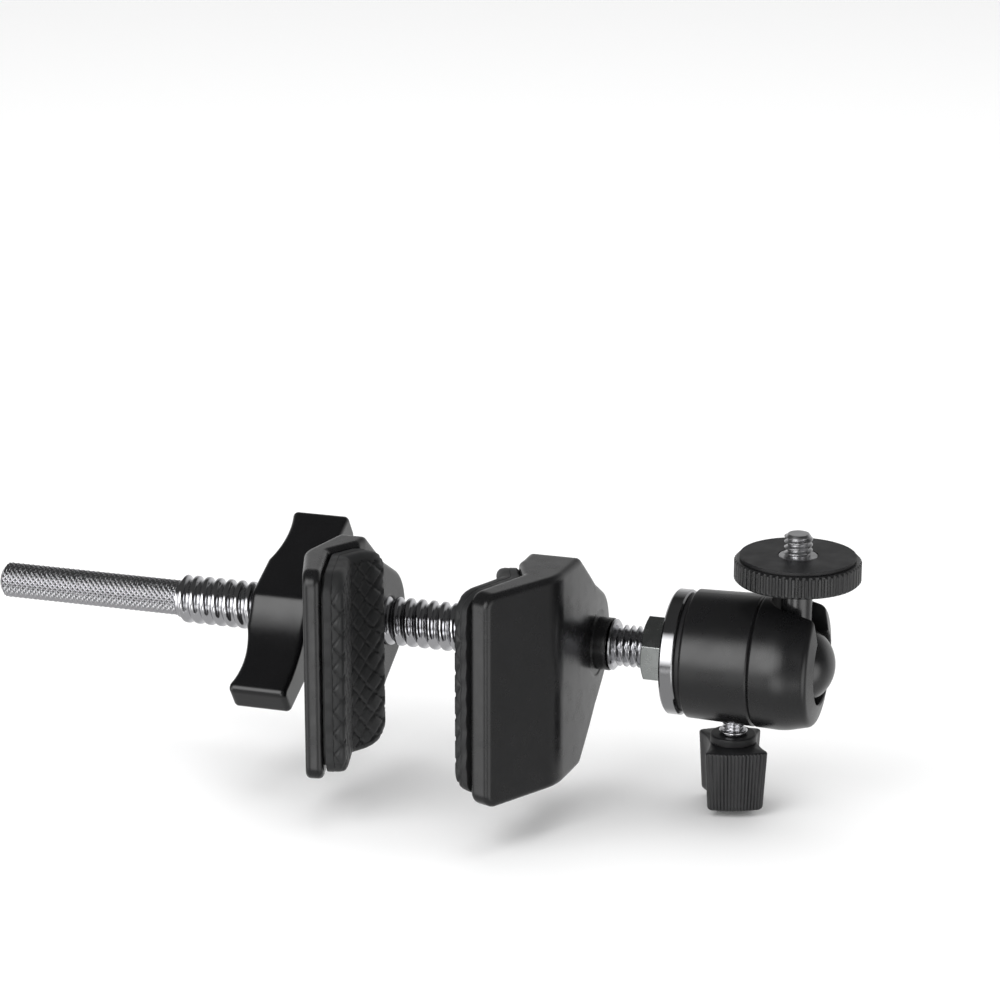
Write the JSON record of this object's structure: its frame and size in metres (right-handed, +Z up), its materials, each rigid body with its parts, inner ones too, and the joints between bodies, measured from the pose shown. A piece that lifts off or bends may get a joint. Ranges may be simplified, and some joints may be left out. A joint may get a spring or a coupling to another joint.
{
  "type": "super clamp",
  "caption": "Black two-jaw pole clamp on a threaded rod with a knurled handle and wing nut, carrying a small locking ball head with a round camera platform.",
  "frame": {"origin": "on the clamp rod's axis, level with the axis of a pole held in the jaws", "axes": "+X along the rod towards the ball head, +Y away from the jaws' mouth, +Z up along the held pole and the upright camera stud"},
  "size_m": [0.2081, 0.0694, 0.0647],
  "materials": {
    "chrome_bar": "bright plated steel with rolled threads and a fine diamond knurl",
    "powder_coat": "semi-gloss black powder coat with slight orange peel",
    "gloss_coat": "gloss black enamel on a die casting",
    "jaw_rubber": "matte black moulded rubber",
    "plain_steel": "bright zinc plate",
    "plated_nut": "dull nickel plate, slightly pitted",
    "chrome_ring": "polished plate",
    "black_seal": "matte black",
    "black_anodised": "satin black anodised",
    "black_ball": "satin black anodised",
    "cup_plastic": "natural nylon",
    "knob_plastic": "moulded, ribbed"
  },
  "bodies": {
    "root": {"clamp_rod": "chrome_bar", "fixed_jaw": "powder_coat", "fixed_jaw_pad": "jaw_rubber", "jaw_pin": "plain_steel"},
    "sliding_jaw": {"moving_jaw": "powder_coat", "moving_jaw_pad": "jaw_rubber", "thrust_washer": "plain_steel"},
    "wing": {"wing_nut": "gloss_coat"},
    "lock_nut": {"jam_nut": "plated_nut"},
    "head": {"head_base_ring": "chrome_ring", "base_gasket": "black_seal", "housing_base": "black_anodised", "housing_front": "black_anodised", "cup_spring": "plain_steel"},
    "cup": {"ball_cup": "cup_plastic"},
    "collar": {"lock_collar": "black_seal"},
    "lock": {"lock_knob": "knob_plastic", "lock_screw": "chrome_bar"},
    "ball_neck": {"ball": "black_ball", "stem": "black_ball"},
    "camera_plate": {"platform_disc": "black_anodised", "platform_pad": "black_seal", "camera_stud": "plain_steel"}
  },
  "joints": [
    {"name": "jaw_slide", "type": "slide", "parent": "root", "child": "sliding_jaw", "axis": [1, 0, 0], "range_m": [-0.017, 0.0224]},
    {"name": "wing_nut_spin", "type": "hinge", "parent": "sliding_jaw", "child": "wing", "pos_m": [-0.042, 0, 0], "axis": [1, 0, 0], "range_deg": [-2185, 2880]},
    {"name": "jam_nut_spin", "type": "hinge", "parent": "root", "child": "lock_nut", "pos_m": [0.047, 0, 0], "axis": [1, 0, 0], "range_deg": [-360, 0]},
    {"name": "head_turn", "type": "hinge", "parent": "root", "child": "head", "pos_m": [0.05, 0, 0], "axis": [1, 0, 0], "range_deg": [-180, 180]},
    {"name": "collar_slide", "type": "slide", "parent": "head", "child": "collar", "axis": [0, 0, 1], "range_m": [-0.0008, 0]},
    {"name": "lock_knob_turn", "type": "hinge", "parent": "collar", "child": "lock", "pos_m": [0.064, 0, -0.027], "axis": [0, 0, 1], "range_deg": [-359, 0]},
    {"name": "cup_slide", "type": "slide", "parent": "head", "child": "cup", "axis": [1, 0, 0], "range_m": [-0.0008, 0]},
    {"name": "ball_tilt", "type": "hinge", "parent": "head", "child": "ball_neck", "pos_m": [0.0778, 0, 0], "axis": [0, 1, 0], "range_deg": [0, 120]},
    {"name": "platform_spin", "type": "hinge", "parent": "ball_neck", "child": "camera_plate", "pos_m": [0.0778, 0, 0.02], "axis": [0, 0, 1], "continuous": true}
  ],
  "couplings": [
    {"joint": "jaw_slide", "follows": "wing_nut_spin", "m_per_rad": 0.00044563},
    {"joint": "collar_slide", "follows": "lock_knob_turn", "m_per_rad": 0.00012732},
    {"joint": "cup_slide", "follows": "lock_knob_turn", "m_per_rad": 0.00012732}
  ]
}
